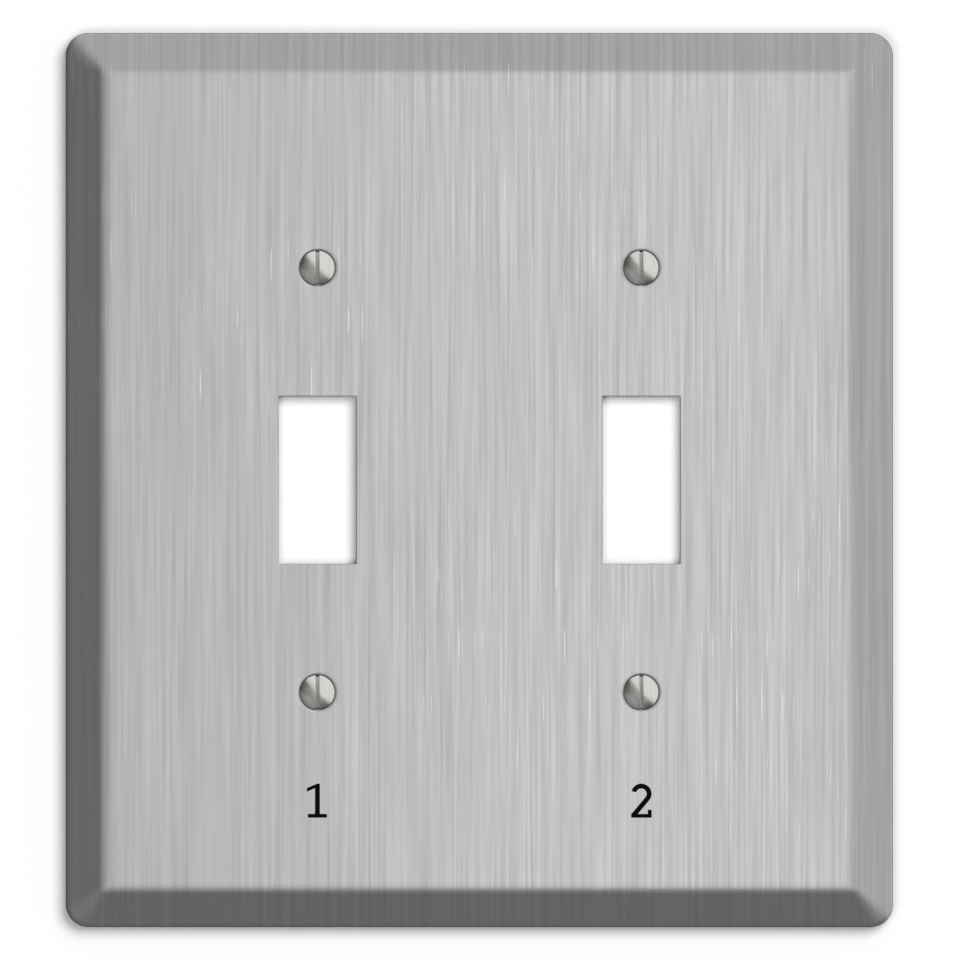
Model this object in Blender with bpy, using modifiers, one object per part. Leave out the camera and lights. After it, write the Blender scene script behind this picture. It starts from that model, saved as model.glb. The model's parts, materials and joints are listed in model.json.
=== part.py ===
"""Two-gang toggle-switch wall plate, pressed from sheet steel, with four captive slotted screws.

The plate stands upright against a wall. Its front faces -Y, +X is to the viewer's right and +Z is up.
The origin is the centre of the wall plane, which the back edge of the plate's rim touches.

Each screw has a thin neck behind its head. A fibre washer sits on the neck and is wider than the
hole in the plate, so the screw turns freely in its hole and slides out until the washer stops it.
"""

import math

import bmesh
import bpy
from mathutils import Matrix, Vector

MM = 0.001

# Plate
PLATE_WIDTH = 117.5 * MM
PLATE_HEIGHT = 127.0 * MM
PLATE_DEPTH = 6.0 * MM
SHEET = 0.9 * MM
BEVEL_RUN = 5.5 * MM
BEVEL_RISE = 3.8 * MM
OUTLINE_RADIUS = 3.2 * MM
FACE_RADIUS = 0.8 * MM
SHOULDER_BEND = 1.0 * MM
FACE_BEND = 3.4 * MM

# Gangs: one toggle opening with a screw above and below it
GANG_PITCH = 46.04 * MM
SCREW_PITCH = 60.33 * MM
TOGGLE_WIDTH = 11.0 * MM
TOGGLE_HEIGHT = 23.8 * MM

# Screw, 6-32 thread, slotted oval head, 82 degree cone
THREAD_DIAMETER = 3.51 * MM
THREAD_ROOT_DIAMETER = 2.60 * MM
THREAD_PITCH = 25.4 / 32 * MM
SCREW_LENGTH = 12.7 * MM
HEAD_DIAMETER = 4.9 * MM
HEAD_DOME = 0.75 * MM
HEAD_CONE = math.radians(82)
NECK_DIAMETER = 2.5 * MM
SLOT_WIDTH = 0.5 * MM
SLOT_DEPTH = 1.0 * MM
SCREW_TRAVEL = 2.2 * MM
TIP_CHAMFER = 0.3 * MM

# Hole for a screw, pressed as a dimple that stands out behind the sheet
CLEARANCE = 0.3 * MM
DIMPLE_HEIGHT = 0.6 * MM
DIMPLE_TOP_DIAMETER = 5.8 * MM
DIMPLE_FOOT_DIAMETER = 7.4 * MM

# Retaining washer
WASHER_DIAMETER = 7.2 * MM
WASHER_THICKNESS = 0.8 * MM

# Smoothness
CORNER_STEPS = 6
BEND_STEPS = 3
ROUND_STEPS = 24
THREAD_STEPS = 18
DOME_STEPS = 4

# Worked out from the above. Depths are measured back from the plate's face.
BEVEL_ANGLE = math.atan2(BEVEL_RISE, BEVEL_RUN)
CONE_SLOPE = math.tan(HEAD_CONE / 2)
HOLE_DIAMETER = THREAD_DIAMETER + 2 * CLEARANCE
SEAT_DIAMETER = HEAD_DIAMETER + 2 * CLEARANCE
SEAT_DEPTH = (SEAT_DIAMETER - HOLE_DIAMETER) / 2 / CONE_SLOPE
DIMPLE_BACK = SHEET + DIMPLE_HEIGHT
WASHER_FRONT = DIMPLE_BACK + CLEARANCE + SCREW_TRAVEL
WASHER_BACK = WASHER_FRONT + WASHER_THICKNESS
WASHER_BORE = NECK_DIAMETER + 2 * CLEARANCE
THREAD_START = WASHER_BACK + CLEARANCE
EXTRA = 1.0 * MM  # how far a cutter runs past what it cuts

FACE_PLACE = Vector((0, -PLATE_DEPTH, 0))
TO_FRONT = Matrix.Rotation(math.pi / 2, 4, "X")  # local +Z becomes -Y, out of the wall
CORNERS = {
    "upper_left": (-GANG_PITCH / 2, SCREW_PITCH / 2),
    "upper_right": (GANG_PITCH / 2, SCREW_PITCH / 2),
    "lower_left": (-GANG_PITCH / 2, -SCREW_PITCH / 2),
    "lower_right": (GANG_PITCH / 2, -SCREW_PITCH / 2),
}


# ---------------------------------------------------------------- scene


def clear_scene():
    for obj in list(bpy.data.objects):
        bpy.data.objects.remove(obj, do_unlink=True)


def new_collection(name):
    collection = bpy.data.collections.new(name)
    bpy.context.scene.collection.children.link(collection)
    return collection


def make_material(name, colour, roughness, metallic):
    material = bpy.data.materials.new(name)
    material.use_nodes = True
    shader = material.node_tree.nodes["Principled BSDF"]
    shader.inputs["Base Color"].default_value = (*colour, 1)
    shader.inputs["Roughness"].default_value = roughness
    shader.inputs["Metallic"].default_value = metallic
    return material


def add_object(name, mesh, collection, material=None):
    obj = bpy.data.objects.new(name, mesh)
    collection.objects.link(obj)
    if material:
        mesh.materials.append(material)
    return obj


def mesh_from(name, bm):
    bmesh.ops.recalc_face_normals(bm, faces=bm.faces)
    mesh = bpy.data.meshes.new(name)
    bm.to_mesh(mesh)
    bm.free()
    return mesh


def shade_round(mesh):
    mesh.shade_smooth()
    mesh.set_sharp_from_angle(angle=math.radians(35))


def make_cutter(obj):
    obj.hide_render = True
    obj.display_type = "WIRE"


def add_boolean(obj, other, operation):
    modifier = obj.modifiers.new(f"{operation.lower()} {other.name}", "BOOLEAN")
    modifier.operation = operation
    modifier.solver = "EXACT"
    modifier.object = other


def evaluated_mesh(obj):
    bpy.context.view_layer.update()
    shown = obj.evaluated_get(bpy.context.evaluated_depsgraph_get())
    return bpy.data.meshes.new_from_object(shown)


def add_profile(name, points, collection, closed=False, rise=0, turns=1, steps=ROUND_STEPS):
    """A shape turned about local Z, which climbs `rise` a turn. Points are (radius, height), top to bottom."""
    bm = bmesh.new()
    verts = [bm.verts.new((radius, 0, height)) for radius, height in points]
    for first, second in zip(verts, verts[1:]):
        bm.edges.new((first, second))
    if closed:
        bm.edges.new((verts[-1], verts[0]))
    mesh = bpy.data.meshes.new(name)
    bm.to_mesh(mesh)
    bm.free()
    obj = add_object(name, mesh, collection)
    screw = obj.modifiers.new("turn", "SCREW")
    screw.axis = "Z"
    screw.angle = 2 * math.pi
    screw.screw_offset = rise
    screw.iterations = turns
    screw.steps = steps
    screw.render_steps = steps
    screw.use_merge_vertices = rise == 0
    screw.merge_threshold = 0.001 * MM
    return obj


# ---------------------------------------------------------------- cover plate


def arc(centre, radius, start, end):
    steps = [start + (end - start) * i / BEND_STEPS for i in range(BEND_STEPS + 1)]
    return [(centre[0] + radius * math.cos(a), centre[1] + radius * math.sin(a)) for a in steps]


def rim_section(inward):
    """Cross-section of the rim, wall plane to face, as (inset from the outline, height off the wall).

    The wall rises from the wall plane, bends onto the bevel and bends again onto the face. `inward`
    moves every surface into the sheet, and the bends keep their centres.
    """
    slope = BEVEL_ANGLE
    wall_height = PLATE_DEPTH - BEVEL_RISE
    drop = SHOULDER_BEND * (1 - math.sin(slope)) / math.cos(slope)
    shoulder = (SHOULDER_BEND, wall_height - drop)
    rise = BEVEL_RISE - FACE_BEND
    crest = ((FACE_BEND + math.cos(slope) * rise) / math.sin(slope), PLATE_DEPTH - FACE_BEND)
    bevel_normal = math.pi / 2 + slope
    section = [(inward, 0)]
    section += arc(shoulder, SHOULDER_BEND - inward, math.pi, bevel_normal)
    section += arc(crest, FACE_BEND - inward, bevel_normal, math.pi / 2)
    return section


def add_ring(bm, inset, height):
    """One rounded rectangle round the plate. The corners tighten from the outline to the face."""
    half_x = PLATE_WIDTH / 2 - inset
    half_z = PLATE_HEIGHT / 2 - inset
    share = min(inset / BEVEL_RUN, 1)
    radius = OUTLINE_RADIUS + (FACE_RADIUS - OUTLINE_RADIUS) * share
    verts = []
    for quarter, (side_x, side_z) in enumerate(((1, 1), (-1, 1), (-1, -1), (1, -1))):
        for step in range(CORNER_STEPS + 1):
            angle = math.pi / 2 * (quarter + step / CORNER_STEPS)
            x = side_x * (half_x - radius) + radius * math.cos(angle)
            z = side_z * (half_z - radius) + radius * math.sin(angle)
            verts.append(bm.verts.new((x, -height, z)))
    return verts


def loft(bm, rings):
    for first, second in zip(rings, rings[1:]):
        for i in range(len(first)):
            bm.faces.new((first[i - 1], first[i], second[i], second[i - 1]))


def make_pan():
    """The pressed sheet before any hole: an outer and an inner skin, joined at the rim's back edge."""
    bm = bmesh.new()
    outer = [add_ring(bm, *point) for point in rim_section(0)]
    inner = [add_ring(bm, *point) for point in rim_section(SHEET)]
    loft(bm, outer[::-1] + inner)
    bm.faces.new(outer[-1])
    bm.faces.new(inner[-1])
    return mesh_from("cover_plate", bm)


def make_dimple(name, cutters):
    """The raised back of one pressed screw seat. It starts inside the sheet, to be joined to it."""
    middle = -SHEET / 2
    foot = DIMPLE_FOOT_DIAMETER / 2
    points = [(0, middle), (foot, middle), (foot, -SHEET), (DIMPLE_TOP_DIAMETER / 2, -DIMPLE_BACK)]
    return add_profile(name, points + [(0, -DIMPLE_BACK)], cutters)


def make_screw_seat(name, cutters):
    """The countersink and the clearance hole of one screw, cut from in front of the face."""
    seat = SEAT_DIAMETER / 2
    hole = HOLE_DIAMETER / 2
    points = [(0, EXTRA), (seat, EXTRA), (seat, 0), (hole, -SEAT_DEPTH), (hole, -DIMPLE_BACK - EXTRA)]
    return add_profile(name, points + [(0, -DIMPLE_BACK - EXTRA)], cutters)


def make_toggle_cutter(name, x, cutters):
    bm = bmesh.new()
    bmesh.ops.create_cube(bm, size=1)
    bmesh.ops.scale(bm, vec=(TOGGLE_WIDTH, 2 * (SHEET + EXTRA), TOGGLE_HEIGHT), verts=bm.verts)
    cutter = add_object(name, mesh_from(name, bm), cutters)
    cutter.location = FACE_PLACE + Vector((x, 0, 0))
    return cutter


def make_cover_plate(collection, cutters, material):
    plate = add_object("cover_plate", make_pan(), collection, material)
    for corner, (x, z) in CORNERS.items():
        dimple = make_dimple(f"dimple_{corner}", cutters)
        seat = make_screw_seat(f"seat_{corner}", cutters)
        for tool, operation in ((dimple, "UNION"), (seat, "DIFFERENCE")):
            tool.matrix_world = Matrix.Translation(FACE_PLACE + Vector((x, 0, z))) @ TO_FRONT
            make_cutter(tool)
            add_boolean(plate, tool, operation)
    for side, x in (("left", -GANG_PITCH / 2), ("right", GANG_PITCH / 2)):
        cutter = make_toggle_cutter(f"toggle_{side}", x, cutters)
        make_cutter(cutter)
        add_boolean(plate, cutter, "DIFFERENCE")
    return plate


# ---------------------------------------------------------------- screws and washers


def limit_radius(bm, height, radius, direction):
    """Turn the thread down to a 45 degree cone that starts at `radius` at one of its ends."""
    for vert in bm.verts:
        reach = Vector((vert.co.x, vert.co.y)).length
        most = radius + direction * (vert.co.z - height)
        if reach > most:
            vert.co.x *= most / reach
            vert.co.y *= most / reach


def make_thread(cutters):
    """The threaded shank: one V of the thread, swept along its helix and cut off square at both ends."""
    root = THREAD_ROOT_DIAMETER / 2
    crest = THREAD_DIAMETER / 2
    length = SCREW_LENGTH - THREAD_START
    turns = math.ceil(length / THREAD_PITCH) + 2
    bottom = -SCREW_LENGTH - 1.5 * THREAD_PITCH
    tooth = [(root, bottom + THREAD_PITCH), (crest, bottom + THREAD_PITCH / 2), (root, bottom)]
    sweep = add_profile("thread_sweep", tooth, cutters, rise=THREAD_PITCH, turns=turns, steps=THREAD_STEPS)
    bm = bmesh.new()
    bm.from_mesh(evaluated_mesh(sweep))
    bpy.data.objects.remove(sweep)
    bmesh.ops.remove_doubles(bm, verts=bm.verts, dist=0.001 * MM)
    for height, way in ((-SCREW_LENGTH, -1), (-THREAD_START, 1)):
        whole = bm.verts[:] + bm.edges[:] + bm.faces[:]
        bmesh.ops.bisect_plane(bm, geom=whole, plane_co=(0, 0, height), plane_no=(0, 0, way), clear_outer=True)
    bmesh.ops.holes_fill(bm, edges=bm.edges)
    limit_radius(bm, -SCREW_LENGTH, root - TIP_CHAMFER, 1)
    limit_radius(bm, -THREAD_START, root, -1)
    thread = add_object("thread", mesh_from("thread", bm), cutters)
    make_cutter(thread)
    return thread


def head_profile():
    """Domed top, sharp rim, cone and neck, which ends inside the threaded shank."""
    rim = HEAD_DIAMETER / 2
    neck = NECK_DIAMETER / 2
    dome_radius = (rim * rim + HEAD_DOME * HEAD_DOME) / (2 * HEAD_DOME)
    half_angle = math.asin(rim / dome_radius)
    angles = [half_angle * i / DOME_STEPS for i in range(DOME_STEPS + 1)]
    dome_foot = HEAD_DOME - dome_radius
    points = [(dome_radius * math.sin(a), dome_foot + dome_radius * math.cos(a)) for a in angles]
    neck_end = -THREAD_START - THREAD_PITCH / 2
    return points + [(neck, -(rim - neck) / CONE_SLOPE), (neck, neck_end), (0, neck_end)]


def make_slot_cutter(cutters):
    bm = bmesh.new()
    bmesh.ops.create_cube(bm, size=1)
    bmesh.ops.scale(bm, vec=(SLOT_WIDTH, 2 * HEAD_DIAMETER, 2 * SLOT_DEPTH), verts=bm.verts)
    bmesh.ops.translate(bm, vec=(0, 0, HEAD_DOME), verts=bm.verts)
    cutter = add_object("slot", mesh_from("slot", bm), cutters)
    make_cutter(cutter)
    return cutter


def make_screw_mesh(cutters):
    blank = add_profile("screw_blank", head_profile(), cutters)
    add_boolean(blank, make_thread(cutters), "UNION")
    add_boolean(blank, make_slot_cutter(cutters), "DIFFERENCE")
    mesh = evaluated_mesh(blank)
    mesh.name = "screw"
    bpy.data.objects.remove(blank)
    shade_round(mesh)
    return mesh


def make_washer_mesh(cutters):
    bore = WASHER_BORE / 2
    edge = WASHER_DIAMETER / 2
    points = [(bore, -WASHER_FRONT), (edge, -WASHER_FRONT), (edge, -WASHER_BACK), (bore, -WASHER_BACK)]
    blank = add_profile("washer_blank", points, cutters, closed=True)
    mesh = evaluated_mesh(blank)
    mesh.name = "retaining_washer"
    bpy.data.objects.remove(blank)
    shade_round(mesh)
    return mesh


def place_at_corners(prefix, mesh, collection, material):
    """Four copies of one mesh, each with its origin on its screw's axis, at the plate's face."""
    mesh.materials.clear()
    mesh.materials.append(material)
    for corner, (x, z) in CORNERS.items():
        piece = add_object(f"{prefix}_{corner}", mesh, collection)
        piece.matrix_world = Matrix.Translation(FACE_PLACE + Vector((x, 0, z))) @ TO_FRONT


def main():
    clear_scene()
    collection = new_collection("two_gang_toggle_plate")
    cutters = new_collection("cutters")
    brushed = make_material("brushed stainless steel", (0.46, 0.47, 0.47), 0.38, 1)
    nickel = make_material("nickel-plated steel", (0.62, 0.61, 0.60), 0.22, 1)
    fibre = make_material("vulcanised fibre", (0.20, 0.035, 0.025), 0.8, 0)
    make_cover_plate(collection, cutters, brushed)
    place_at_corners("screw", make_screw_mesh(cutters), collection, nickel)
    place_at_corners("retaining_washer", make_washer_mesh(cutters), collection, fibre)


main()
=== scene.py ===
"""Two-gang toggle switch wall plate in brushed stainless steel, with four captive slotted screws."""

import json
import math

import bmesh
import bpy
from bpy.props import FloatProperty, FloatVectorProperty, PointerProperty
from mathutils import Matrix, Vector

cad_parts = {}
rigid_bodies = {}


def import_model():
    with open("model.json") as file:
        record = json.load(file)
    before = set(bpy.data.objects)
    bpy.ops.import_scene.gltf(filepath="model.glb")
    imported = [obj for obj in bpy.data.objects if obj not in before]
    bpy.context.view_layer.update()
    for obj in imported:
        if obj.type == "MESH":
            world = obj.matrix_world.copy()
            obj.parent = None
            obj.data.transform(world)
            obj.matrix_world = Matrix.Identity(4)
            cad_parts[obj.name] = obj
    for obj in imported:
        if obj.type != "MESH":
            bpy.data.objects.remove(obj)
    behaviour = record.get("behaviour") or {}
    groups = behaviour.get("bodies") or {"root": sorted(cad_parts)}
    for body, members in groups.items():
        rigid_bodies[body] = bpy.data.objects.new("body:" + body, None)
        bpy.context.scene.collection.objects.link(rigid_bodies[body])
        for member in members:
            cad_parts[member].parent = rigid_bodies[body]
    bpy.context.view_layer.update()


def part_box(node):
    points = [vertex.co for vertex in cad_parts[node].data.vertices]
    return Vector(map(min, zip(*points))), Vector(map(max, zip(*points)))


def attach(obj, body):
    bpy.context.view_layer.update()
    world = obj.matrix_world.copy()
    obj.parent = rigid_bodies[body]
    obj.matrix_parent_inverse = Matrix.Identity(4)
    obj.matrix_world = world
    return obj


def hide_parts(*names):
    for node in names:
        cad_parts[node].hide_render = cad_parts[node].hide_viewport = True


bl_info = {
    "name": "Toggle switch wall plate",
    "version": (1, 0, 0),
    "blender": (4, 5, 0),
    "location": "3D View > Sidebar > Wall plate",
    "description": "Builds a brushed steel wall plate with its screws, washers and numerals, and a studio",
    "category": "Add Mesh",
}

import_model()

MM = 0.001
WELD = 0.0005 * MM  # points closer than this are joined into one
SAME = 0.00001 * MM  # places closer than this count as one
ON_PLANE = 0.000001 * MM  # points closer than this to a cutting plane lie on it
CORNERS = ("upper_left", "upper_right", "lower_left", "lower_right")
TO_FRONT = Matrix.Rotation(math.pi / 2, 4, "X")  # local +Z becomes -Y, out of the wall

PLATE_LOW, PLATE_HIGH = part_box("cover_plate")
FACE_Y = PLATE_LOW.y


def centre_of(node):
    low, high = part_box(node)
    return (low + high) / 2


def screw_axis(corner):
    """Carries a shape made about local Z, with Z = 0 at the plate's face, to its screw hole."""
    middle = centre_of(f"screw_{corner}")
    return Matrix.Translation((middle.x, FACE_Y, middle.z)) @ TO_FRONT


# ---------------------------------------------------------------- settings


def linear(hex_colour):
    """An sRGB hex colour as linear red, green and blue."""
    values = [int(hex_colour[i : i + 2], 16) / 255 for i in (1, 3, 5)]
    return [v / 12.92 if v <= 0.04045 else ((v + 0.055) / 1.055) ** 2.4 for v in values]


def length(name, millimetres, description):
    return FloatProperty(name=name, description=description, default=millimetres * MM, min=0, unit="LENGTH")


def angle(name, degrees, description):
    return FloatProperty(name=name, description=description, default=math.radians(degrees), subtype="ANGLE")


def colour(name, hex_colour, description):
    limits = {"default": linear(hex_colour), "min": 0, "max": 1}
    return FloatVectorProperty(name=name, description=description, subtype="COLOR", **limits)


class CoverPlateSettings(bpy.types.PropertyGroup):
    """The pressed sheet."""

    sheet: length("Sheet", 0.9, "Thickness of the steel")
    bevel_run: length("Bevel run", 5.5, "Width of the sloping border, seen from in front")
    bevel_rise: length("Bevel rise", 3.8, "How far the sloping border rises")
    outline_radius: length("Outline corner", 3.2, "Corner radius of the plate's outline")
    face_radius: length("Face corner", 0.8, "Corner radius where the border meets the face")
    shoulder_bend: length("Shoulder bend", 1.0, "Outer radius of the bend from the side wall to the border")
    face_bend: length("Face bend", 3.4, "Outer radius of the bend from the border to the face")
    rim_edge: length("Rim edge", 0.12, "Rounding of the rim's back edge")
    toggle_width: length("Opening width", 11.0, "Width of a toggle opening")
    toggle_height: length("Opening height", 23.8, "Height of a toggle opening")
    toggle_corner: length("Opening corner", 0.12, "Corner radius of a toggle opening")
    roll_over: length("Roll-over", 0.14, "Rounding that the punch leaves round the front of an opening")
    seat_diameter: length("Seat", 5.2, "Diameter of a screw seat at the face")
    seat_cone: angle("Seat cone", 82, "Full angle of a screw seat")
    seat_roll: length("Seat roll", 0.9, "Rounding where the face is pressed down into a screw seat")
    hole_diameter: length("Hole", 4.11, "Clearance hole of a screw")
    dimple_height: length("Dimple", 0.6, "How far a pressed seat stands out behind the sheet")
    dimple_top: length("Dimple top", 5.8, "Diameter of a dimple at its back")
    dimple_foot: length("Dimple foot", 7.4, "Diameter of a dimple where it leaves the sheet")
    steel: colour("Brushed steel", "#C6C8C7", "Colour of the brushed front")
    back: colour("Mill finish", "#A9ABAC", "Colour of the unbrushed back")


class ScrewSettings(bpy.types.PropertyGroup):
    """The four slotted oval-head screws, 6-32 thread."""

    head_diameter: length("Head", 4.9, "Diameter of the head")
    head_dome: length("Dome", 0.75, "Height of the domed head above the plate's face")
    head_cone: angle("Cone", 82, "Full angle of the underside of the head")
    slot_width: length("Slot width", 0.5, "Width of the driver slot")
    slot_depth: length("Slot depth", 1.0, "Depth of the driver slot below the top of the dome")
    slot_lip: length("Slot lip", 0.05, "Rounding along the edges of the slot")
    slot_crown: length("Slot crown", 0.15, "How far the slot's floor rises towards its middle")
    neck: length("Neck", 2.5, "Diameter of the undercut neck")
    thread_major: length("Thread", 3.51, "Major diameter of the thread")
    thread_minor: length("Thread root", 2.6, "Minor diameter of the thread")
    pitch: length("Pitch", 25.4 / 32, "Distance from one thread to the next")
    thread_gap: length("Thread gap", 0.3, "Gap from the washer to the first thread")
    tip_chamfer: length("Tip chamfer", 0.3, "Chamfer on the end of the thread")
    nickel: colour("Nickel", "#AFAEAB", "Colour of the nickel plate")
    # Darker than the nickel: painted shade inside the slot.
    sawn: colour("Slot", "#94918D", "Colour inside the slot")


class WasherSettings(bpy.types.PropertyGroup):
    """The fibre washers that keep the screws with the plate."""

    bore: length("Bore", 3.1, "Diameter of the hole")
    edge: length("Edge", 0.08, "Rounding of the edges")
    fibre: colour("Fibre", "#7A2E22", "Colour of the vulcanised fibre")


class NumeralSettings(bpy.types.PropertyGroup):
    """The numeral printed under each opening."""

    height: length("Height", 4.85, "Height of a numeral")
    stroke: length("Stroke", 0.70, "Width of a numeral's main stroke")
    slab: length("Slab", 0.54, "Thickness of a numeral's foot")
    baseline: length("Baseline", 48.0, "Distance of the numerals' foot below the plate's centre")
    film: length("Film", 0.02, "Thickness of the ink")
    ink: colour("Ink", "#020202", "Colour of the ink")


class StudioSettings(bpy.types.PropertyGroup):
    """The camera, the floor, and the cards behind the openings."""

    view_width: length("View", 136.45, "Width of what the camera sees")
    floor_drop: length("Floor drop", 45.0, "Distance from the plate down to the floor")
    card_gap: length("Card gap", 1.0, "Distance from the sheet back to the white card behind an opening")
    card_margin: length("Card margin", 1.5, "How far such a card reaches past its opening")
    floor: colour("Floor", "#9A9A98", "Colour of the floor")


class WallPlateSettings(bpy.types.PropertyGroup):
    """Every setting of the wall plate."""

    plate: PointerProperty(type=CoverPlateSettings)
    screw: PointerProperty(type=ScrewSettings)
    washer: PointerProperty(type=WasherSettings)
    numeral: PointerProperty(type=NumeralSettings)
    studio: PointerProperty(type=StudioSettings)


# ---------------------------------------------------------------- materials


def new_material(name):
    material = bpy.data.materials.new(name)
    material.use_nodes = True
    material.node_tree.nodes.clear()
    return material


def add_node(tree, kind, inputs, **settings):
    """Adds a node with its settings. Each input is set to a value, or linked to a socket or to the first
    output of another node."""
    node = tree.nodes.new(kind)
    for key, value in settings.items():
        setattr(node, key, value)
    for key, value in inputs.items():
        if isinstance(value, bpy.types.Node):
            value = value.outputs[0]
        if isinstance(value, bpy.types.NodeSocket):
            tree.links.new(value, node.inputs[key])
        else:
            node.inputs[key].default_value = value
    return node


def cells(*millimetres):
    """The scale that gives a noise cells of these sizes."""
    return [1 / (size * MM) for size in millimetres]


def finish_surface(tree, height, relief, rgb, tone, inputs):
    """Ends a material: `rgb` shaded by a tone that varies about 1, and a bump `relief` metres deep."""
    shaded = {0: 1.0, 6: (*rgb, 1), 7: tone}
    shaded = add_node(tree, "ShaderNodeMix", shaded, data_type="RGBA", blend_type="MULTIPLY").outputs[2]
    bump = add_node(tree, "ShaderNodeBump", {"Height": height, "Distance": relief, "Strength": 1.0})
    shader = add_node(tree, "ShaderNodeBsdfPrincipled", {**inputs, "Base Color": shaded, "Normal": bump})
    add_node(tree, "ShaderNodeOutputMaterial", {"Surface": shader})


# Map Range nodes take their inputs by number: value, from low, from high, to low, to high.


def brushed_steel(rgb):
    """Type 304 stainless sheet, belt-brushed flat before it is pressed. Fine broken lines run up the plate
    and over its bends, and spread every reflection sideways into a soft sheen."""
    material = new_material("brushed stainless steel")
    tree = material.node_tree
    sheet = add_node(tree, "ShaderNodeUVMap", {}, uv_map="sheet")
    sideways = add_node(tree, "ShaderNodeTangent", {}, direction_type="UV_MAP", uv_map="sheet")

    place = add_node(tree, "ShaderNodeMapping", {"Vector": sheet, "Scale": cells(0.36, 24, 1)})
    fine = add_node(tree, "ShaderNodeTexNoise", {"Vector": place, "Scale": 1, "Detail": 0.7})
    place = add_node(tree, "ShaderNodeMapping", {"Vector": sheet, "Scale": cells(1.0, 60, 1)})
    middle = add_node(tree, "ShaderNodeTexNoise", {"Vector": place, "Scale": 1, "Detail": 0})
    place = add_node(tree, "ShaderNodeMapping", {"Vector": sheet, "Scale": cells(5, 300, 1)})
    bands = add_node(tree, "ShaderNodeTexNoise", {"Vector": place, "Scale": 1, "Detail": 1})

    # Bright scratches, short and few, and only in some patches of the sheet.
    place = add_node(tree, "ShaderNodeMapping", {"Vector": sheet, "Scale": cells(0.25, 9, 1)})
    scratch = add_node(tree, "ShaderNodeTexNoise", {"Vector": place, "Scale": 1, "Detail": 0})
    scratch = add_node(tree, "ShaderNodeMapRange", {0: scratch, 1: 0.74, 2: 0.84, 3: 0, 4: 0.45})
    place = add_node(tree, "ShaderNodeMapping", {"Vector": sheet, "Scale": cells(30, 40, 1)})
    patch = add_node(tree, "ShaderNodeTexNoise", {"Vector": place, "Scale": 1, "Detail": 0})
    patch = add_node(tree, "ShaderNodeMapRange", {0: patch, 1: 0.48, 2: 0.62})

    tone = add_node(tree, "ShaderNodeMapRange", {0: bands, 1: 0.2, 2: 0.8, 3: 0.72, 4: 0.78})
    tone = add_node(tree, "ShaderNodeMath", {0: middle, 1: 0.2, 2: tone}, operation="MULTIPLY_ADD")
    tone = add_node(tree, "ShaderNodeMath", {0: fine, 1: 0.3, 2: tone}, operation="MULTIPLY_ADD")
    tone = add_node(tree, "ShaderNodeMath", {0: scratch, 1: patch, 2: tone}, operation="MULTIPLY_ADD")
    rough = add_node(tree, "ShaderNodeMapRange", {0: fine, 1: 0.2, 2: 0.8, 3: 0.40, 4: 0.32})
    metal = {"Metallic": 1.0, "Roughness": rough, "Anisotropic": 0.5, "Tangent": sideways}
    finish_surface(tree, fine, 0.002 * MM, rgb, tone, metal)
    return material


def mill_steel(rgb):
    """The unbrushed back of the sheet: the dull, even finish of cold rolling, with faint roll lines."""
    material = new_material("mill finish stainless steel")
    tree = material.node_tree
    sheet = add_node(tree, "ShaderNodeUVMap", {}, uv_map="sheet")
    place = add_node(tree, "ShaderNodeMapping", {"Vector": sheet, "Scale": cells(0.7, 70, 1)})
    lines = add_node(tree, "ShaderNodeTexNoise", {"Vector": place, "Scale": 1, "Detail": 3})
    place = add_node(tree, "ShaderNodeMapping", {"Vector": sheet, "Scale": cells(9, 14, 1)})
    clouds = add_node(tree, "ShaderNodeTexNoise", {"Vector": place, "Scale": 1, "Detail": 3})
    tone = add_node(tree, "ShaderNodeMapRange", {0: clouds, 1: 0, 2: 1, 3: 0.78, 4: 0.98})
    tone = add_node(tree, "ShaderNodeMath", {0: lines, 1: 0.2, 2: tone}, operation="MULTIPLY_ADD")
    rough = add_node(tree, "ShaderNodeMapRange", {0: clouds, 1: 0.2, 2: 0.8, 3: 0.40, 4: 0.52})
    finish_surface(tree, lines, 0.002 * MM, rgb, tone, {"Metallic": 1.0, "Roughness": rough})
    return material


def painted_shade_slot(rgb):
    """The slot's cut walls and floor: duller and scored along the cut, and darker than the head as painted
    shade in the recess.
    """
    material = new_material("sawn steel, thinly plated")
    tree = material.node_tree
    place = add_node(tree, "ShaderNodeTexCoord", {}).outputs["Object"]
    place = add_node(tree, "ShaderNodeMapping", {"Vector": place, "Scale": cells(0.06, 0.5, 2)})
    scores = add_node(tree, "ShaderNodeTexNoise", {"Vector": place, "Scale": 1, "Detail": 2})
    tone = add_node(tree, "ShaderNodeMapRange", {0: scores, 1: 0.2, 2: 0.8, 3: 0.85, 4: 1.15})
    rough = add_node(tree, "ShaderNodeMapRange", {0: scores, 1: 0.2, 2: 0.8, 3: 0.3, 4: 0.42})
    # rgb is the slot colour, darkened as painted shade in the recess.
    finish_surface(tree, scores, 0.006 * MM, rgb, tone, {"Metallic": 1.0, "Roughness": rough})
    return material


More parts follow.
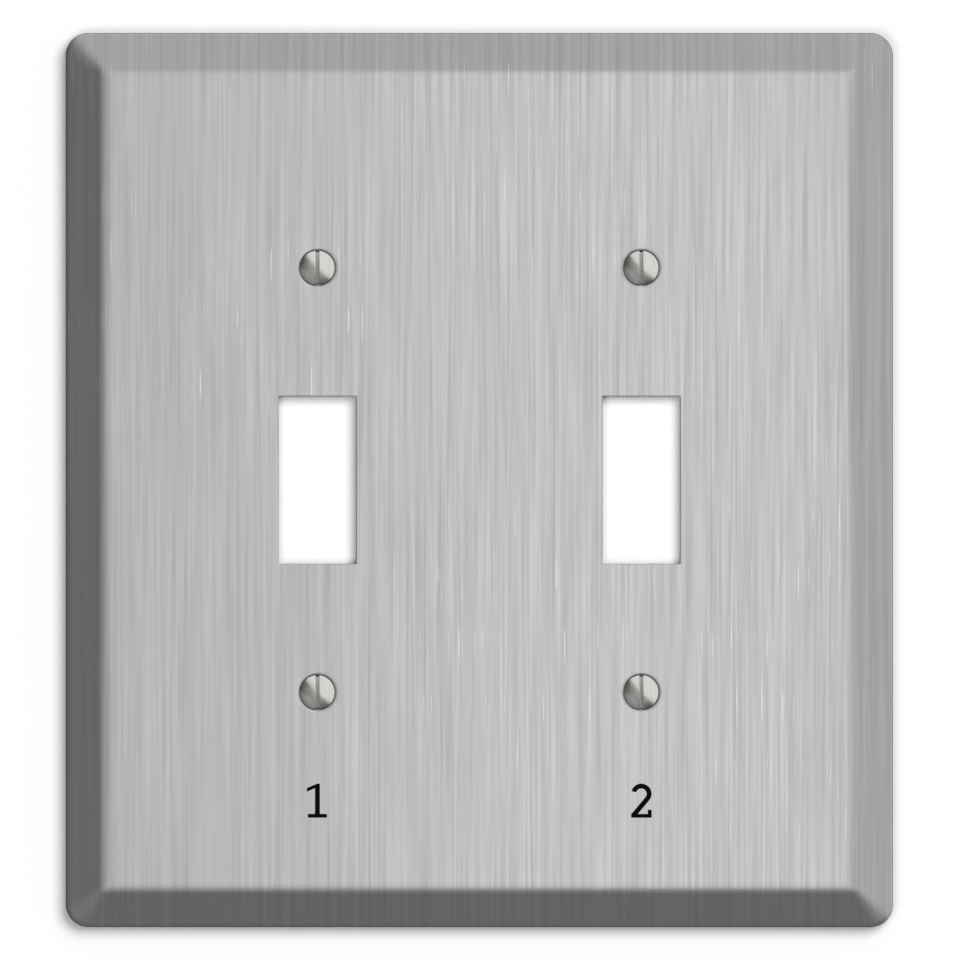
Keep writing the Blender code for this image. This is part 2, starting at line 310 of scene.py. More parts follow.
def nickel_plate(rgb):
    """Bright nickel over cold-headed steel: smooth and slightly warm, with faint upright polishing lines
    on the dome and a shallow mottle from the plating."""
    material = new_material("nickel-plated steel")
    tree = material.node_tree
    head = add_node(tree, "ShaderNodeTexCoord", {}).outputs["Object"]
    place = add_node(tree, "ShaderNodeMapping", {"Vector": head, "Scale": cells(0.18, 1.5, 3)})
    lines = add_node(tree, "ShaderNodeTexNoise", {"Vector": place, "Scale": 1, "Detail": 2})
    place = add_node(tree, "ShaderNodeMapping", {"Vector": head, "Scale": cells(0.7, 0.7, 0.7)})
    mottle = add_node(tree, "ShaderNodeTexNoise", {"Vector": place, "Scale": 1, "Detail": 3})
    tone = add_node(tree, "ShaderNodeMapRange", {0: mottle, 1: 0.2, 2: 0.8, 3: 0.84, 4: 0.94})
    tone = add_node(tree, "ShaderNodeMath", {0: lines, 1: 0.2, 2: tone}, operation="MULTIPLY_ADD")
    rough = add_node(tree, "ShaderNodeMapRange", {0: mottle, 1: 0.3, 2: 0.7, 3: 0.2, 4: 0.3})
    finish_surface(tree, mottle, 0.004 * MM, rgb, tone, {"Metallic": 1.0, "Roughness": rough})
    return material


def vulcanised_fibre(rgb):
    """Pressed paper fibre, dyed red: dull and faintly speckled, its layers showing on the cut edge."""
    material = new_material("vulcanised fibre")
    tree = material.node_tree
    washer = add_node(tree, "ShaderNodeTexCoord", {}).outputs["Object"]
    place = add_node(tree, "ShaderNodeMapping", {"Vector": washer, "Scale": cells(0.25, 0.25, 0.25)})
    speckle = add_node(tree, "ShaderNodeTexNoise", {"Vector": place, "Scale": 1, "Detail": 4})
    place = add_node(tree, "ShaderNodeMapping", {"Vector": washer, "Scale": cells(1.2, 0.1, 1.2)})
    layers = add_node(tree, "ShaderNodeTexNoise", {"Vector": place, "Scale": 1, "Detail": 3})
    tone = add_node(tree, "ShaderNodeMapRange", {0: layers, 1: 0.2, 2: 0.8, 3: 0.5, 4: 0.9})
    tone = add_node(tree, "ShaderNodeMath", {0: speckle, 1: 0.6, 2: tone}, operation="MULTIPLY_ADD")
    finish_surface(tree, layers, 0.02 * MM, rgb, tone, {"Roughness": 0.72})
    return material


def printing_ink(rgb):
    """Baked pad-printing ink: dense black and slightly satin, following the brushed lines under it."""
    material = new_material("black printing ink")
    tree = material.node_tree
    place = add_node(tree, "ShaderNodeTexCoord", {}).outputs["Object"]
    place = add_node(tree, "ShaderNodeMapping", {"Vector": place, "Scale": cells(0.30, 19, 19)})
    lines = add_node(tree, "ShaderNodeTexNoise", {"Vector": place, "Scale": 1, "Detail": 2})
    tone = add_node(tree, "ShaderNodeMapRange", {0: lines, 1: 0, 2: 1, 3: 0.7, 4: 1.3})
    rough = add_node(tree, "ShaderNodeMapRange", {0: lines, 1: 0.2, 2: 0.8, 3: 0.5, 4: 0.62})
    finish_surface(tree, lines, 0.002 * MM, rgb, tone, {"Roughness": rough, "Specular IOR Level": 0.05})
    return material


# ---------------------------------------------------------------- mesh helpers


def make_piece(name, bm, materials, smooth_angle=35):
    """Ends a bmesh as a smooth-shaded object at the origin, its place in its mesh."""
    mesh = bpy.data.meshes.new(name)
    bm.to_mesh(mesh)
    bm.free()
    for material in materials:
        mesh.materials.append(material)
    mesh.shade_smooth()
    mesh.set_sharp_from_angle(angle=math.radians(smooth_angle))
    piece = bpy.data.objects.new(name, mesh)
    bpy.context.scene.collection.objects.link(piece)
    return piece


def stand_for(piece, node, body):
    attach(piece, body)
    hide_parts(node)


def arc(centre, radius, start, end, steps):
    turns = [start + (end - start) * i / steps for i in range(steps + 1)]
    return [Vector((centre[0] + radius * math.cos(a), centre[1] + radius * math.sin(a))) for a in turns]


def edges_of(ring):
    """The edges that join a closed ring of vertices in turn."""
    edges = []
    for i, vert in enumerate(ring):
        edges.append(next(edge for edge in vert.link_edges if edge.other_vert(vert) is ring[i - 1]))
    return edges


def start_ring(bm, points):
    """A closed ring of vertices at these points."""
    ring = bmesh.ops.create_circle(bm, segments=len(points), radius=1 * MM)["verts"]
    for vert, point in zip(ring, points):
        vert.co = point
    return ring


def extrude_ring(bm, ring, points):
    """Extrudes a closed ring of vertices, and puts the new ones at these points."""
    made = set(bmesh.ops.extrude_edge_only(bm, edges=edges_of(ring))["geom"])
    following = []
    for vert, point in zip(ring, points):
        twin = next(e.other_vert(vert) for e in vert.link_edges if e.other_vert(vert) in made)
        twin.co = point
        following.append(twin)
    return following


def rings_through(bm, sections):
    """A skin through rings of points."""
    rings = [start_ring(bm, sections[0])]
    for points in sections[1:]:
        rings.append(extrude_ring(bm, rings[-1], points))
    return rings


# ---------------------------------------------------------------- cover plate

CORNER_STEPS = 14
ROUND_STEPS = 72
MARGIN = 0.4 * MM  # flat strip kept beside a bend, so that the bend alone is shaded round
WALL_SHARE = 1 / 5  # width that a hole's wall has on the flat sheet, as a share of its depth


def skin_section(s, inward):
    """Section of one skin of the rim from the wall plane to the face, as (inset, height).

    `inward` is how far the skin lies inside the outer one.
    """
    depth = -FACE_Y
    slope = math.atan2(s.bevel_rise, s.bevel_run)
    drop = s.shoulder_bend * (1 - math.sin(slope)) / math.cos(slope)
    shoulder = (s.shoulder_bend, depth - s.bevel_rise - drop)
    reach = s.face_bend + math.cos(slope) * (s.bevel_rise - s.face_bend)
    crest = (reach / math.sin(slope), depth - s.face_bend)
    tilt = math.pi / 2 + slope
    lower = arc(shoulder, s.shoulder_bend - inward, math.pi, tilt, steps=6)
    upper = arc(crest, s.face_bend - inward, tilt, math.pi / 2, steps=10)
    along = (upper[0] - lower[-1]).normalized() * MARGIN / 2
    below = lower[0] - Vector((0, MARGIN / 2))
    return [below] + lower + [lower[-1] + along, upper[0] - along] + upper


def rim_section(s):
    """The rim's section from the face, down the outside, round the back edge and up the inside.

    Each point is (inset, height, run, inside), with run the way along its skin from the flat sheet.
    """
    outer = skin_section(s, 0)
    inner = skin_section(s, s.sheet)
    border = outer[-1].x + MARGIN
    r = s.rim_edge
    outer += [Vector((border, outer[-1].y))]
    inner += [Vector((border, inner[-1].y))]
    outer = arc((r, r), r, math.pi * 1.5, math.pi, steps=4) + outer
    inner = arc((s.sheet - r, r), r, math.pi * 1.5, math.pi * 2, steps=4) + inner
    outer.reverse()
    inner.reverse()
    section = []
    for skin, inside in ((outer, False), (inner, True)):
        run = 0
        points = []
        for number, point in enumerate(skin):
            run += (point - skin[number - 1]).length if number else 0
            points.append((point.x, point.y, run, inside))
        section += points[::-1] if inside else points
    return section


def plate_outline(s, inset, grown=0):
    """A rounded rectangle round the plate as (x, z), `inset` from its outline, then grown evenly.

    The corners tighten from the outline to the face.
    """
    share = min(inset / s.bevel_run, 1)
    radius = s.outline_radius + (s.face_radius - s.outline_radius) * share
    half_x = PLATE_HIGH.x - inset - radius
    half_z = PLATE_HIGH.z - inset - radius
    return rounded_rectangle(half_x, half_z, radius + grown, CORNER_STEPS)


def rounded_rectangle(half_x, half_z, radius, steps):
    """Corner centres at (half_x, half_z) and its mirrors, each with an arc of this radius."""
    points = []
    for quarter, (side_x, side_z) in enumerate(((1, 1), (-1, 1), (-1, -1), (1, -1))):
        start = math.pi / 2 * quarter
        points += arc((side_x * half_x, side_z * half_z), radius, start, start + math.pi / 2, steps)
    return points


def add_skin(bm, layers, outlines):
    """A skin through outlines. Each is (points, height off the wall, flat points, inside)."""
    rings = rings_through(bm, [[(x, -height, z) for x, z in points] for points, height, _, _ in outlines])
    for ring, (_, _, flat, inside) in zip(rings, outlines):
        for vert, place in zip(ring, flat):
            vert[layers["flat"]] = (*place, 0)
            vert[layers["inside"]] = inside
    return rings[0], rings[-1]


def add_rim(bm, layers, s):
    section = rim_section(s)
    border = section[0][0]
    outlines = []
    for inset, height, run, inside in section:
        grown = run - (border - inset)
        outlines.append((plate_outline(s, inset), height, plate_outline(s, inset, grown), inside))
    return add_skin(bm, layers, outlines)


def add_hole(bm, layers, section, outline):
    """A hole through the sheet.

    Its section is (growth, depth, inside), and outline(growth) gives its points.
    """
    outlines = []
    for growth, depth, inside in section:
        flat = outline(growth - depth * WALL_SHARE)
        outlines.append((outline(growth), -FACE_Y - depth, flat, inside))
    return add_skin(bm, layers, outlines)


def toggle_section(s):
    """A punched edge: rolled over in front, sheared straight, and barely broken behind."""
    roll = s.roll_over
    burr = roll / 3
    section = [(roll + MARGIN, 0, False)]
    section += [(p.x, p.y, False) for p in arc((roll, roll), roll, -math.pi / 2, -math.pi, steps=5)]
    behind = arc((burr, s.sheet - burr), burr, math.pi, math.pi / 2, steps=3)
    section += [(p.x, p.y, True) for p in behind]
    return section + [(burr + MARGIN, s.sheet, True)]


def seat_section(s):
    """A pressed screw seat: the face rolls into the cone, then the hole, and the dimple behind."""
    half = s.seat_cone / 2
    turn = math.pi / 2 - half
    seat = (s.seat_diameter - s.hole_diameter) / 2
    tangent = s.seat_roll * math.tan(turn / 2)
    throat = seat / math.tan(half)
    back = s.sheet + s.dimple_height
    top = (s.dimple_top - s.hole_diameter) / 2
    foot = (s.dimple_foot - s.hole_diameter) / 2
    flank = math.atan2(s.dimple_height, foot - top)
    edge = 0.1 * MM
    front = [Vector((seat + tangent + MARGIN, 0))]
    front += arc((seat + tangent, s.seat_roll), s.seat_roll, -math.pi / 2, -math.pi / 2 - turn, steps=8)
    front += [Vector((edge / 4, throat - edge / 4)), Vector((0, throat + edge / 4))]
    behind = arc((edge, back - edge), edge, math.pi, math.pi / 2, steps=3)
    ridge = edge * math.tan(flank / 2)
    behind += arc((top - ridge, back - edge), edge, math.pi / 2, math.pi / 2 - flank, steps=3)
    bend = 2 * edge
    hollow = bend * math.tan(flank / 2)
    behind += arc((foot + hollow, s.sheet + bend), bend, -math.pi / 2 - flank, -math.pi / 2, steps=3)
    behind += [Vector((foot + hollow + MARGIN, s.sheet))]
    return [(p.x, p.y, False) for p in front] + [(p.x, p.y, True) for p in behind]


def build_cover_plate(s):
    bm = bmesh.new()
    layers = {
        "flat": bm.verts.layers.float_vector.new("flat"),
        "inside": bm.verts.layers.int.new("inside"),
    }
    rims = [add_rim(bm, layers, s)]
    middles = {corner: centre_of(f"screw_{corner}") for corner in CORNERS}
    for middle in middles.values():

        def circle(growth, centre=(middle.x, middle.z)):
            radius = s.hole_diameter / 2 + growth
            return arc(centre, radius, 0, 2 * math.pi, ROUND_STEPS)[:-1]

        rims.append(add_hole(bm, layers, seat_section(s), circle))
    for side in ("left", "right"):
        centre = (middles[f"upper_{side}"] + middles[f"lower_{side}"]) / 2
        half_x = s.toggle_width / 2 - s.toggle_corner
        half_z = s.toggle_height / 2 - s.toggle_corner

        def opening(growth, shift=Vector((centre.x, centre.z))):
            points = rounded_rectangle(half_x, half_z, s.toggle_corner + growth, steps=5)
            return [point + shift for point in points]

        rims.append(add_hole(bm, layers, toggle_section(s), opening))
    for loops in zip(*rims):
        edges = [edge for ring in loops for edge in edges_of(ring)]
        bmesh.ops.triangle_fill(bm, use_beauty=True, edges=edges)
    bmesh.ops.recalc_face_normals(bm, faces=bm.faces)
    uv = bm.loops.layers.uv.new("sheet")
    for face in bm.faces:
        face.material_index = int(all(vert[layers["inside"]] for vert in face.verts))
        for loop in face.loops:
            loop[uv].uv = loop.vert[layers["flat"]].xy
    bm.verts.layers.float_vector.remove(layers["flat"])
    bm.verts.layers.int.remove(bm.verts.layers.int["inside"])
    return bm


class WALLPLATE_OT_cover_plate(bpy.types.Operator):
    """Press the brushed steel plate, with its openings and screw seats"""

    bl_idname = "wall_plate.cover_plate"
    bl_label = "Cover plate"

    def execute(self, context):
        s = context.scene.wall_plate.plate
        materials = [brushed_steel(s.steel), mill_steel(s.back)]
        piece = make_piece("brushed_cover_plate", build_cover_plate(s), materials)
        stand_for(piece, "cover_plate", "plate")
        return {"FINISHED"}


# ---------------------------------------------------------------- screws

THREAD_STEPS = 64
SLOT_STEPS = 12
LIP_STEPS = 3


def thread_section(s, bottom):
    """One pitch of thread from root to root, as (radius, height), with flats at crest and root."""
    crest = s.thread_major / 2
    root = s.thread_minor / 2
    flat = s.pitch / 8
    flank = (s.pitch - 2 * flat) / 2
    heights = (0, flat, flat + flank / 2, flat + flank, 2 * flat + flank, 2 * flat + 1.5 * flank, s.pitch)
    radii = (root, root, (root + crest) / 2, crest, crest, (root + crest) / 2, root)
    return [(radius, bottom + height) for radius, height in zip(radii, heights)]


def add_chain(bm, points):
    """An open chain of vertices and edges in the XZ plane."""
    verts = [bm.verts.new((radius, 0, height)) for radius, height in points]
    edges = [bm.edges.new(pair) for pair in zip(verts, verts[1:])]
    return verts + edges


def turn_down(bm, height, radius, way):
    """Turns the thread down to a 45 degree cone that has `radius` at `height` and widens along `way`."""
    for vert in bm.verts:
        reach = vert.co.xy.length
        most = radius + way * (vert.co.z - height)
        if reach > most:
            vert.co.xy *= most / reach


def add_thread(bm, s, start, end):
    """The threaded shank, cut off square at both ends and closed at its tip. Returns its upper ring."""
    spare = 1.5 * s.pitch
    turns = math.ceil((start - end) / s.pitch) + 2
    chain = add_chain(bm, thread_section(s, end - spare))
    bmesh.ops.spin(
        bm,
        geom=chain,
        cent=(0, 0, 0),
        axis=(0, 0, 1),
        dvec=(0, 0, s.pitch / THREAD_STEPS),
        angle=2 * math.pi * turns,
        steps=THREAD_STEPS * turns,
    )
    bmesh.ops.remove_doubles(bm, verts=bm.verts, dist=WELD)
    for height, way in ((end, -1), (start, 1)):
        whole = bm.verts[:] + bm.edges[:] + bm.faces[:]
        place, normal = (0, 0, height), (0, 0, way)
        bmesh.ops.bisect_plane(bm, geom=whole, plane_co=place, plane_no=normal, clear_outer=True)
    turn_down(bm, end, s.thread_minor / 2 - s.tip_chamfer, 1)
    turn_down(bm, start, s.thread_minor / 2, -1)
    rims = [edge for edge in bm.edges if edge.is_boundary]
    tip = [edge for edge in rims if edge.verts[0].co.z < (start + end) / 2]
    bmesh.ops.edgeloop_fill(bm, edges=tip)
    ring = {vert for edge in rims if edge not in tip for vert in edge.verts}
    return sorted(ring, key=lambda vert: math.atan2(vert.co.y, vert.co.x))


def head_section(s, start):
    """Neck, cone, rim and dome, as (radius, height), from the top of the thread up to the pole."""
    rim = s.head_diameter / 2
    neck = s.neck / 2
    half = s.head_cone / 2
    edge = 0.04 * MM
    fillet = 0.25 * MM
    collar = 0.1 * MM
    cone_foot = -(rim - neck) / math.tan(half)
    bend = fillet * math.tan(half / 2)
    foot = [Vector((neck, start)), Vector((neck, start + collar))]
    root = arc((neck + fillet, cone_foot - bend), fillet, math.pi, math.pi - half, steps=4)
    dome = (rim * rim + s.head_dome * s.head_dome) / (2 * s.head_dome)
    reach = math.asin((rim - edge / 2) / dome)
    cap = arc((0, s.head_dome - dome), dome, math.pi / 2 - reach, math.pi / 2, steps=14)
    side = Vector((-math.sin(half), -math.cos(half))) * edge
    lip = [Vector((rim, 0)) + side, Vector((rim - edge / 8, -edge / 8))]
    return foot + root + lip + cap[:-1]


def cut_above(bm, height, place, normal):
    """Cuts the faces above a height along a plane, and takes nothing away."""
    faces = [face for face in bm.faces if face.calc_center_median().z > height]
    geom = list({part for face in faces for part in (face, *face.edges, *face.verts)})
    bmesh.ops.bisect_plane(bm, geom=geom, plane_co=place, plane_no=normal, dist=ON_PLANE)


def cut_slot(bm, s):
    """Mills the driver slot through the head along Y, with softened edges."""
    half = s.slot_width / 2
    bottom = s.head_dome - s.slot_depth
    lip = s.slot_lip
    drops = {}
    cut_above(bm, -s.head_diameter, (0, 0, bottom), (0, 0, 1))
    for side in (-1, 1):
        for step in range(LIP_STEPS + 1):
            turn = math.pi / 2 * step / LIP_STEPS
            across = side * (half + lip * (1 - math.cos(turn)))
            drops[across] = lip * (1 - math.sin(turn))
            cut_above(bm, bottom, (across, 0, 0), (1, 0, 0))
    middles = [(face, face.calc_center_median()) for face in bm.faces]
    milled = [face for face, middle in middles if middle.z > bottom and abs(middle.x) < half]
    bmesh.ops.delete(bm, geom=milled, context="FACES")
    for vert in bm.verts:
        if vert.co.z > bottom + lip / 10:
            share = min((vert.co.z - bottom) / -bottom, 1)
            near = [drop for across, drop in drops.items() if abs(vert.co.x - across) < SAME]
            vert.co.z -= share * sum(near)
    close_slot(bm, half, bottom, s.slot_crown)


def close_slot(bm, half, bottom, crown):
    """Fills the slot's two walls and its floor, which rises a little towards its middle."""
    rims = [edge for edge in bm.edges if edge.is_boundary]
    sides = []
    faces = []
    for side in (-1, 1):
        wall = [edge for edge in rims if all(abs(vert.co.x - side * half) < SAME for vert in edge.verts)]
        verts = {vert for edge in wall for vert in edge.verts}
        feet = [vert for vert in verts if abs(vert.co.z - bottom) < SAME]
        reach = abs(feet[0].co.y)
        foot = bmesh.ops.contextual_create(bm, geom=feet)["edges"]
        parts = bmesh.ops.subdivide_edges(bm, edges=foot, cuts=SLOT_STEPS - 1)["geom_inner"]
        inner = [part for part in parts if isinstance(part, bmesh.types.BMVert)]
        chain = {edge for vert in inner for edge in vert.link_edges}
        for vert in inner:
            vert.co.z = bottom + crown * (1 - (vert.co.y / reach) ** 2)
        faces += bmesh.ops.edgeloop_fill(bm, edges=wall + list(chain))["faces"]
        sides += chain
    faces += bmesh.ops.bridge_loops(bm, edges=sides)["faces"]
    ends = [edge for edge in bm.edges if edge.is_boundary]
    faces += bmesh.ops.holes_fill(bm, edges=ends)["faces"]
    for face in faces:
        face.material_index = 1


def build_screw(s):
    """One screw about local Z, with Z = 0 at the plate's face."""
    start = FACE_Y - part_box("retaining_washer_upper_left")[1].y - s.thread_gap
    end = FACE_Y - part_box("screw_upper_left")[1].y
    bm = bmesh.new()
    ring = add_thread(bm, s, start, end)
    turns = [math.atan2(vert.co.y, vert.co.x) for vert in ring]
    for radius, height in head_section(s, start):
        points = [(radius * math.cos(a), radius * math.sin(a), height) for a in turns]
        ring = extrude_ring(bm, ring, points)
    bmesh.ops.edgeloop_fill(bm, edges=edges_of(ring))
    cut_slot(bm, s)
    bmesh.ops.recalc_face_normals(bm, faces=bm.faces)
    return bm


def place_copies(prefix, bm, materials, node, body):
    """A copy of one shape at each screw hole."""
    for corner in CORNERS:
        copy = bm.copy()
        bmesh.ops.transform(copy, matrix=screw_axis(corner), verts=copy.verts)
        piece = make_piece(f"{prefix}_{corner}", copy, materials)
        stand_for(piece, f"{node}_{corner}", f"{body}_{corner}")
    bm.free()


class WALLPLATE_OT_screws(bpy.types.Operator):
    """Turn and thread the four slotted screws"""

    bl_idname = "wall_plate.screws"
    bl_label = "Screws"

    def execute(self, context):
        s = context.scene.wall_plate.screw
        materials = [nickel_plate(s.nickel), painted_shade_slot(s.sawn)]
        shape = build_screw(s)
        place_copies("oval_head_screw", shape, materials, "screw", "screw")
        return {"FINISHED"}


# ---------------------------------------------------------------- washers


def build_washer(s):
    """One washer about local Z, with Z = 0 at the plate's face."""
    low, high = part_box("retaining_washer_upper_left")
    front, back = FACE_Y - low.y, FACE_Y - high.y
    inner, outer = s.bore / 2, (high.x - low.x) / 2
    r = s.edge
    section = arc((outer - r, front - r), r, math.pi / 2, 0, steps=3)
    section += arc((outer - r, back + r), r, 0, -math.pi / 2, steps=3)
    section += arc((inner + r, back + r), r, -math.pi / 2, -math.pi, steps=3)
    section += arc((inner + r, front - r), r, math.pi, math.pi / 2, steps=3)
    bm = bmesh.new()
    add_chain(bm, section + section[:1])
    bmesh.ops.remove_doubles(bm, verts=bm.verts, dist=WELD)
    bmesh.ops.spin(
        bm,
        geom=bm.verts[:] + bm.edges[:],
        cent=(0, 0, 0),
        axis=(0, 0, 1),
        angle=2 * math.pi,
        steps=ROUND_STEPS,
        use_merge=True,
    )
    bmesh.ops.recalc_face_normals(bm, faces=bm.faces)
    return bm


class WALLPLATE_OT_washers(bpy.types.Operator):
    """Punch the four fibre washers"""

    bl_idname = "wall_plate.washers"
    bl_label = "Washers"

    def execute(self, context):
        s = context.scene.wall_plate.washer
        materials = [vulcanised_fibre(s.fibre)]
        shape = build_washer(s)
        place_copies("fibre_washer", shape, materials, "retaining_washer", "washer")
        return {"FINISHED"}


# ---------------------------------------------------------------- numerals


def outline_of_one(s):
    """A plain 1 with a flag and a slab foot, as an outline about its stem's axis."""
    half = s.stroke / 2
    foot = s.height * 0.28
    flag = s.height * 0.31
    tip = s.height * 0.87
    root = s.height - s.slab * 1.2
    right = [(foot, 0), (foot, s.slab), (half, s.slab), (half, s.height), (0, s.height)]
    left = [(-flag, tip), (-flag, tip - s.slab), (-half, root)]
    return right + left + [(-half, s.slab), (-foot, s.slab), (-foot, 0)]


def outline_of_two(s):
    """A plain 2 with a slab foot: a bowl, a straight diagonal, and a foot turned up at its end."""
    side = s.height * 0.30
    bowl = side - s.stroke / 2
    centre = Vector((0, s.height - side))
    start, end = math.radians(165), math.radians(-40)
    outer = arc(centre, bowl + s.stroke / 2, start, end, steps=24)
    inner = arc(centre, bowl - s.stroke / 2, end, start, steps=24)
    slope = math.cos(end) / -math.sin(end)
    toe = outer[-1].x - (outer[-1].y - s.slab) / slope
    heel = inner[0].y - (inner[0].x + side) * slope
    turned_up = side - s.slab
    top = 2.1 * s.slab
    foot = [(toe, s.slab), (turned_up, s.slab), (turned_up, top), (side, top), (side, 0)]
    return outer + foot + [(-side, 0), (-side, heel)] + inner


def printed_numeral(s, outline, side, material):
    """A numeral as a thin film on the face, centred under its opening."""
    bm = bmesh.new()
    ring = start_ring(bm, [(*point, 0) for point in outline])
    face = bmesh.ops.edgeloop_fill(bm, edges=edges_of(ring))["faces"]
    made = bmesh.ops.extrude_face_region(bm, geom=face)["geom"]
    raised = [part for part in made if isinstance(part, bmesh.types.BMVert)]
    bmesh.ops.translate(bm, vec=(0, 0, s.film), verts=raised)
    bmesh.ops.recalc_face_normals(bm, faces=bm.faces)
    middle = centre_of(f"screw_lower_{side}").x
    place = Matrix.Translation((middle, FACE_Y, -s.baseline)) @ TO_FRONT
    bmesh.ops.transform(bm, matrix=place, verts=bm.verts)
    piece = make_piece(f"printed_numeral_{side}", bm, [material])
    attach(piece, "plate")


class WALLPLATE_OT_numerals(bpy.types.Operator):
    """Print a numeral under each opening"""

    bl_idname = "wall_plate.numerals"
    bl_label = "Numerals"

    def execute(self, context):
        s = context.scene.wall_plate.numeral
        material = printing_ink(s.ink)
        printed_numeral(s, outline_of_one(s), "left", material)
        printed_numeral(s, outline_of_two(s), "right", material)
        return {"FINISHED"}


# ---------------------------------------------------------------- stage

WALL_GAP = 0.1 * MM  # kept between the plate's rim and the wall
WALL_HALF = 0.3
FLOOR_WIDTH = 1.6
CAMERA_PLACE = (0.09 * MM, -0.6, 0)


def flat_card(name, size, place, material, matrix=Matrix()):
    bm = bmesh.new()
    bmesh.ops.create_grid(bm, x_segments=1, y_segments=1, size=0.5)
    bmesh.ops.scale(bm, vec=(*size, 1), verts=bm.verts)
    bmesh.ops.transform(bm, matrix=Matrix.Translation(place) @ matrix, verts=bm.verts)
    card = make_piece(name, bm, [material])
    return card


def one_sided_white(name, tone):
    """Matt grey or white in front and nothing at all from behind, so the plate's back stays in view."""
    material = new_material(name)
    tree = material.node_tree
    white = add_node(tree, "ShaderNodeBsdfDiffuse", {"Color": (tone, tone, tone, 1)})
    clear = add_node(tree, "ShaderNodeBsdfTransparent", {})
    behind = add_node(tree, "ShaderNodeNewGeometry", {}).outputs["Backfacing"]
    both = add_node(tree, "ShaderNodeMixShader", {0: behind, 1: white, 2: clear})
    add_node(tree, "ShaderNodeOutputMaterial", {"Surface": both})
    return material


def hide_from_light(card):
    """Lets the camera see a card that neither lights, shades nor mirrors in anything else."""
    card.visible_glossy = False
    card.visible_diffuse = False
    card.visible_shadow = False


def studio_wall(s, foot):
    """A wall that shows only the plate's shadow. It starts under the rim, so the plate's back is open."""
    depth = PLATE_HIGH.y + WALL_GAP
    edge = rounded_rectangle(WALL_HALF, WALL_HALF, radius=1 * MM, steps=CORNER_STEPS)
    inner = [(x, depth, z) for x, z in plate_outline(s, s.sheet / 2)]
    outer = [(x, depth, z + foot + WALL_HALF) for x, z in edge]
    bm = bmesh.new()
    rings_through(bm, [inner, outer])
    bmesh.ops.reverse_faces(bm, faces=bm.faces)
    wall = make_piece("studio_wall", bm, [one_sided_white("studio wall", tone=0.8)])
    wall.is_shadow_catcher = True
    hide_from_light(wall)


def add_light(name, kind, place, settings, lit=None):
    """A lamp at `place`, turned to the origin and hidden from the camera.

    `lit` is how the names of the only pieces it lights begin.
    """
    data = bpy.data.lights.new(name, kind)
    for key, value in settings.items():
        setattr(data, key, value)
    light = bpy.data.objects.new(name, data)
    turned = Vector(place).to_track_quat("Z", "Y").to_matrix().to_4x4()
    light.matrix_world = Matrix.Translation(place) @ turned
    light.visible_camera = False
    bpy.context.scene.collection.objects.link(light)
    if lit:
        receivers = bpy.data.collections.new(f"lit by {name}")
        for piece in bpy.context.scene.objects:
            if piece.name.startswith(lit):
                receivers.objects.link(piece)
        light.light_linking.receiver_collection = receivers
    return light


def add_glow(name, lean, width, radiance):
    """A wide soft disc of light on the screws alone, `lean` degrees from the front to the upper right."""
    tilt = math.radians(lean)
    half = math.radians(width / 2)
    side = math.sin(tilt) / math.sqrt(2)
    energy = radiance * math.pi * math.sin(half) ** 2
    disc = {"energy": energy, "angle": 2 * half}
    add_light(name, "SUN", (side, -math.cos(tilt), side), disc, lit="oval_head")


def studio_world():
    """White behind the object, and round it a soft studio: even in front, bright towards the upper right,
    dim towards the lower left, and a little less dim straight down, where the floor lies."""
    world = bpy.data.worlds.new("studio")
    world.use_nodes = True
    tree = world.node_tree
    tree.nodes.clear()
    way = add_node(tree, "ShaderNodeTexCoord", {}).outputs["Generated"]
    lean = add_node(tree, "ShaderNodeVectorMath", {0: way, 1: (1, 0, 1)}, operation="DOT_PRODUCT")
    ahead = add_node(tree, "ShaderNodeVectorMath", {0: way, 1: (0, -1, 0)}, operation="DOT_PRODUCT")
    down = add_node(tree, "ShaderNodeVectorMath", {0: way, 1: (0, 0, -1)}, operation="DOT_PRODUCT")
    dim = {0: down.outputs["Value"], 1: 0.4, 2: 0.95, 3: 0.145, 4: 0.195}
    dim = add_node(tree, "ShaderNodeMapRange", dim)
    beside = {0: lean.outputs["Value"], 1: -0.3, 2: 0.45, 3: dim, 4: 0.65}
    beside = add_node(tree, "ShaderNodeMapRange", beside, interpolation_type="SMOOTHSTEP")
    front = add_node(tree, "ShaderNodeMapRange", {0: ahead.outputs["Value"], 1: 0.48, 2: 0.97})
    tone = add_node(tree, "ShaderNodeMix", {0: front, 2: beside, 3: 0.70})
    soft = add_node(tree, "ShaderNodeBackground", {"Color": tone, "Strength": 1.0})
    white = add_node(tree, "ShaderNodeBackground", {"Color": (1, 1, 1, 1), "Strength": 1.0})
    seen = add_node(tree, "ShaderNodeLightPath", {}).outputs["Is Camera Ray"]
    both = add_node(tree, "ShaderNodeMixShader", {0: seen, 1: soft, 2: white})
    add_node(tree, "ShaderNodeOutputWorld", {"Surface": both})
    bpy.context.scene.world = world


def studio_floor(s):
    material = new_material("studio floor")
    tree = material.node_tree
    shader = add_node(tree, "ShaderNodeBsdfPrincipled", {"Base Color": (*s.floor, 1), "Roughness": 0.9})
    add_node(tree, "ShaderNodeOutputMaterial", {"Surface": shader})
    place = (0, 0, PLATE_LOW.z - s.floor_drop)
    hide_from_light(flat_card("studio_floor", (FLOOR_WIDTH, FLOOR_WIDTH), place, material))


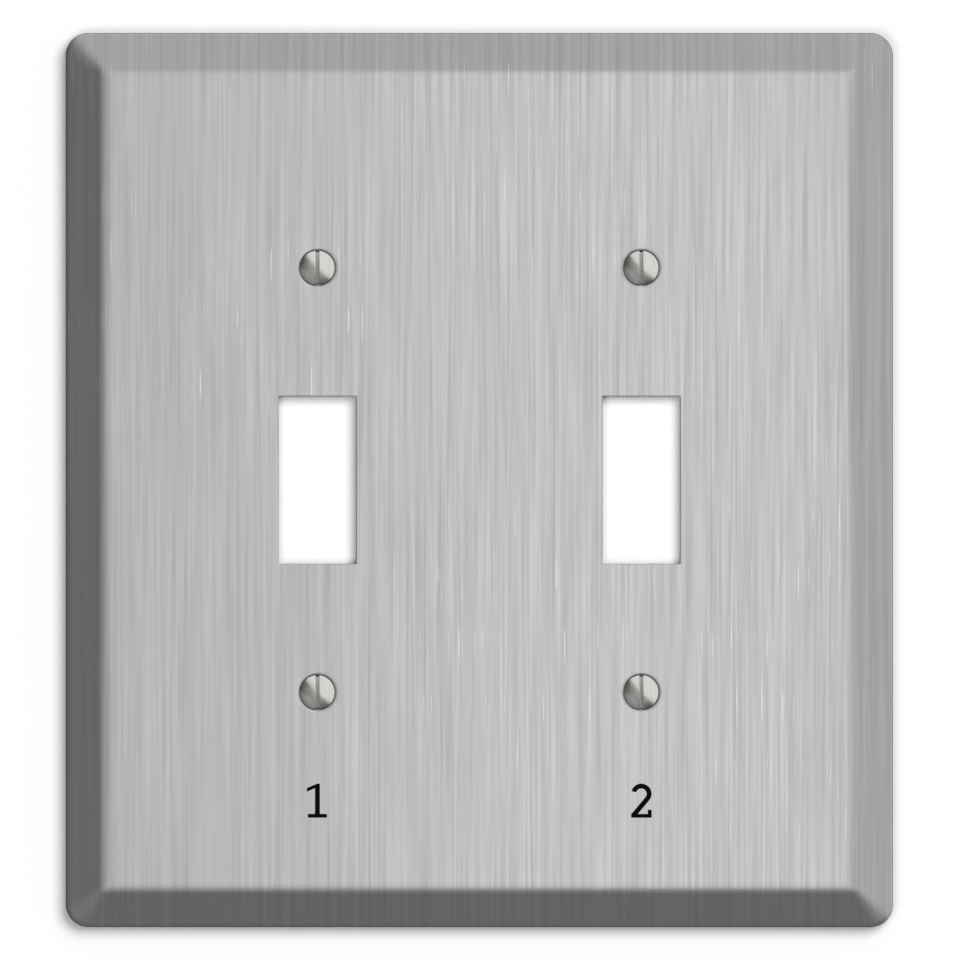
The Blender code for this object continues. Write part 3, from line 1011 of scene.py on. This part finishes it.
class WALLPLATE_OT_stage(bpy.types.Operator):
    """Set up the camera, lights, floor, wall and cards"""

    bl_idname = "wall_plate.stage"
    bl_label = "Studio"

    def execute(self, context):
        settings = context.scene.wall_plate
        s = settings.studio
        studio_world()
        studio_floor(s)
        studio_wall(settings.plate, PLATE_LOW.z - s.floor_drop)
        plate = settings.plate
        size = (plate.toggle_width + 2 * s.card_margin, plate.toggle_height + 2 * s.card_margin)
        depth = FACE_Y + plate.sheet + s.card_gap
        white = one_sided_white("white card", tone=0.31)
        for side in ("left", "right"):
            place = (centre_of(f"screw_upper_{side}").x, depth, 0)
            hide_from_light(flat_card(f"opening_card_{side}", size, place, white, TO_FRONT))
        key = add_light("key", "AREA", (0.30, -0.75, 0.30), {"size": 0.6, "energy": 20})
        fill = add_light("fill", "AREA", (-0.20, -0.75, -0.20), {"size": 0.4, "energy": 6})
        key.visible_glossy = fill.visible_glossy = False
        band = {"shape": "RECTANGLE", "size": 0.06, "size_y": 0.6, "energy": 0.13}
        add_light("band", "AREA", (0.03, -0.32, 0), band, lit="brushed")
        add_glow("gleam", lean=84, width=170, radiance=0.9)
        add_glow("underglow", lean=-80, width=90, radiance=0.3)
        data = bpy.data.cameras.new("camera")
        data.type = "ORTHO"
        data.ortho_scale = s.view_width
        camera = bpy.data.objects.new("camera", data)
        camera.matrix_world = Matrix.Translation(CAMERA_PLACE) @ TO_FRONT
        context.scene.collection.objects.link(camera)
        context.scene.camera = camera
        context.scene.view_settings.view_transform = "Standard"
        return {"FINISHED"}


# ---------------------------------------------------------------- add-on


class WALLPLATE_PT_panel(bpy.types.Panel):
    """Lists the pieces of the wall plate"""

    bl_idname = "WALLPLATE_PT_panel"
    bl_label = "Wall plate"
    bl_space_type = "VIEW_3D"
    bl_region_type = "UI"
    bl_category = "Wall plate"

    def draw(self, context):
        settings = context.scene.wall_plate
        for operator, name in STEPS:
            self.layout.operator(operator.bl_idname)
            group = getattr(settings, name)
            for key in group.__annotations__:
                self.layout.prop(group, key)


STEPS = (
    (WALLPLATE_OT_cover_plate, "plate"),
    (WALLPLATE_OT_screws, "screw"),
    (WALLPLATE_OT_washers, "washer"),
    (WALLPLATE_OT_numerals, "numeral"),
    (WALLPLATE_OT_stage, "studio"),
)
CLASSES = (
    CoverPlateSettings,
    ScrewSettings,
    WasherSettings,
    NumeralSettings,
    StudioSettings,
    WallPlateSettings,
    *(operator for operator, _ in STEPS),
    WALLPLATE_PT_panel,
)


def register():
    for cls in CLASSES:
        bpy.utils.register_class(cls)
    bpy.types.Scene.wall_plate = PointerProperty(type=WallPlateSettings)


def unregister():
    del bpy.types.Scene.wall_plate
    for cls in reversed(CLASSES):
        bpy.utils.unregister_class(cls)


def main():
    register()
    bpy.ops.wall_plate.cover_plate()
    bpy.ops.wall_plate.screws()
    bpy.ops.wall_plate.washers()
    bpy.ops.wall_plate.numerals()
    bpy.ops.wall_plate.stage()


if __name__ == "__main__":
    main()
